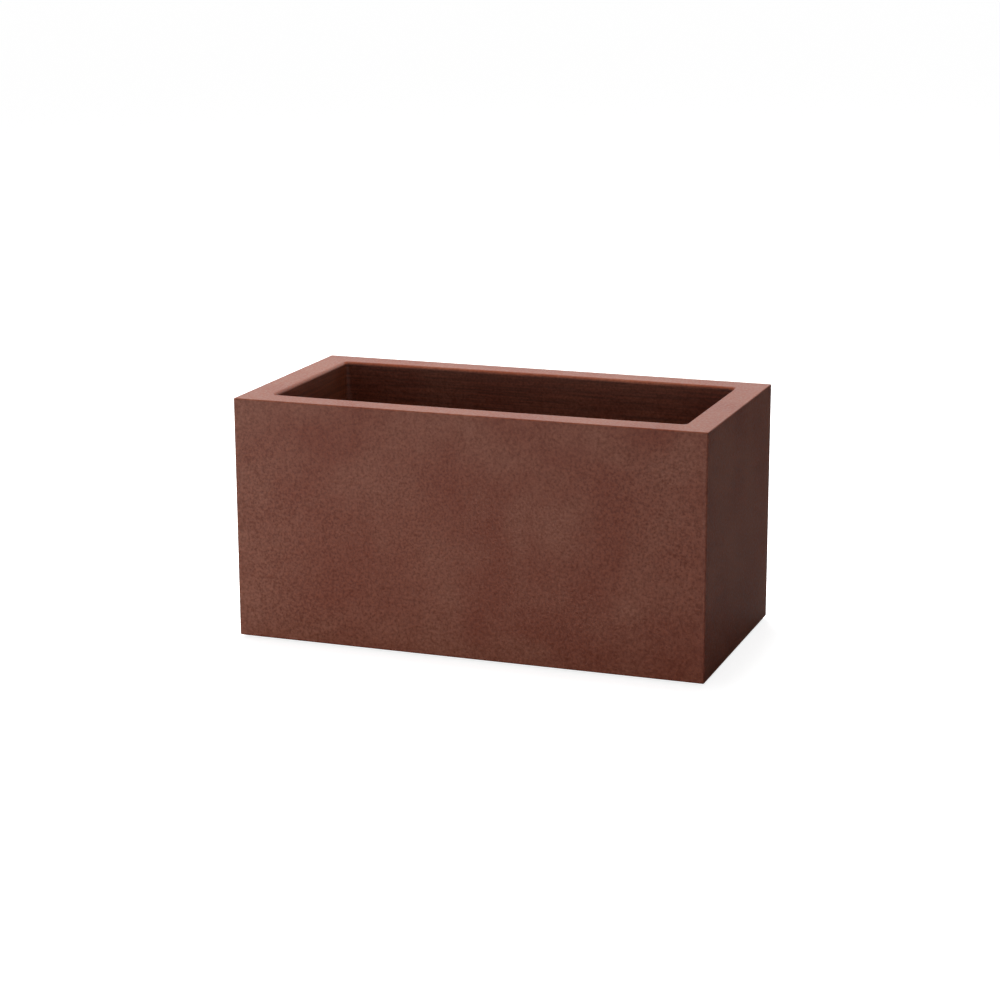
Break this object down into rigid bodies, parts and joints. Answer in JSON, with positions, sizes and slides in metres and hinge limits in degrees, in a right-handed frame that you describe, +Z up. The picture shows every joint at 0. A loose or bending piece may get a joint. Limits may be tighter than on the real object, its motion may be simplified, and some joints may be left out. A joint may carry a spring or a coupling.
{
  "type": "planter box",
  "caption": "Rectangular double-skinned planter box with a thick flat rim, a deep soil space, drain plugs, lift-out grates, feet and anchor inserts.",
  "frame": {"origin": "centre of the footprint, on the ground under the feet", "axes": "+X along the length to the right, +Y from the front to the back, +Z up"},
  "size_m": [0.795, 0.395, 0.405],
  "materials": {
    "shell_plastic": "satin rust brown, faintly mottled",
    "grate_plastic": "black, fine-grained",
    "plug_plastic": "black satin",
    "foot_rubber": "matt black",
    "washer_rubber": "matt black",
    "insert_brass": "turned"
  },
  "bodies": {
    "shell": {"planter_shell": "shell_plastic", "foot_front_left": "foot_rubber", "foot_front_middle": "foot_rubber", "foot_front_right": "foot_rubber", "foot_rear_left": "foot_rubber", "foot_rear_middle": "foot_rubber", "foot_rear_right": "foot_rubber", "anchor_inserts": "insert_brass", "vent_plug": "plug_plastic"},
    "left_plug": {"drain_plug_left": "plug_plastic", "drain_washer_left": "washer_rubber"},
    "right_plug": {"drain_plug_right": "plug_plastic", "drain_washer_right": "washer_rubber"},
    "left_grate": {"soil_grate_left": "grate_plastic", "grate_legs_left": "grate_plastic", "grate_grip_left": "grate_plastic"},
    "right_grate": {"soil_grate_right": "grate_plastic", "grate_legs_right": "grate_plastic", "grate_grip_right": "grate_plastic"}
  },
  "joints": [
    {"name": "left_plug_pull", "type": "slide", "parent": "shell", "child": "left_plug", "axis": [0, 0, 1], "range_m": [0, 0.03]},
    {"name": "right_plug_pull", "type": "slide", "parent": "shell", "child": "right_plug", "axis": [0, 0, 1], "range_m": [0, 0.03]},
    {"name": "left_grate_lift", "type": "slide", "parent": "shell", "child": "left_grate", "axis": [0, 0, 1], "range_m": [0, 0.42]},
    {"name": "right_grate_lift", "type": "slide", "parent": "shell", "child": "right_grate", "axis": [0, 0, 1], "range_m": [0, 0.42]}
  ]
}
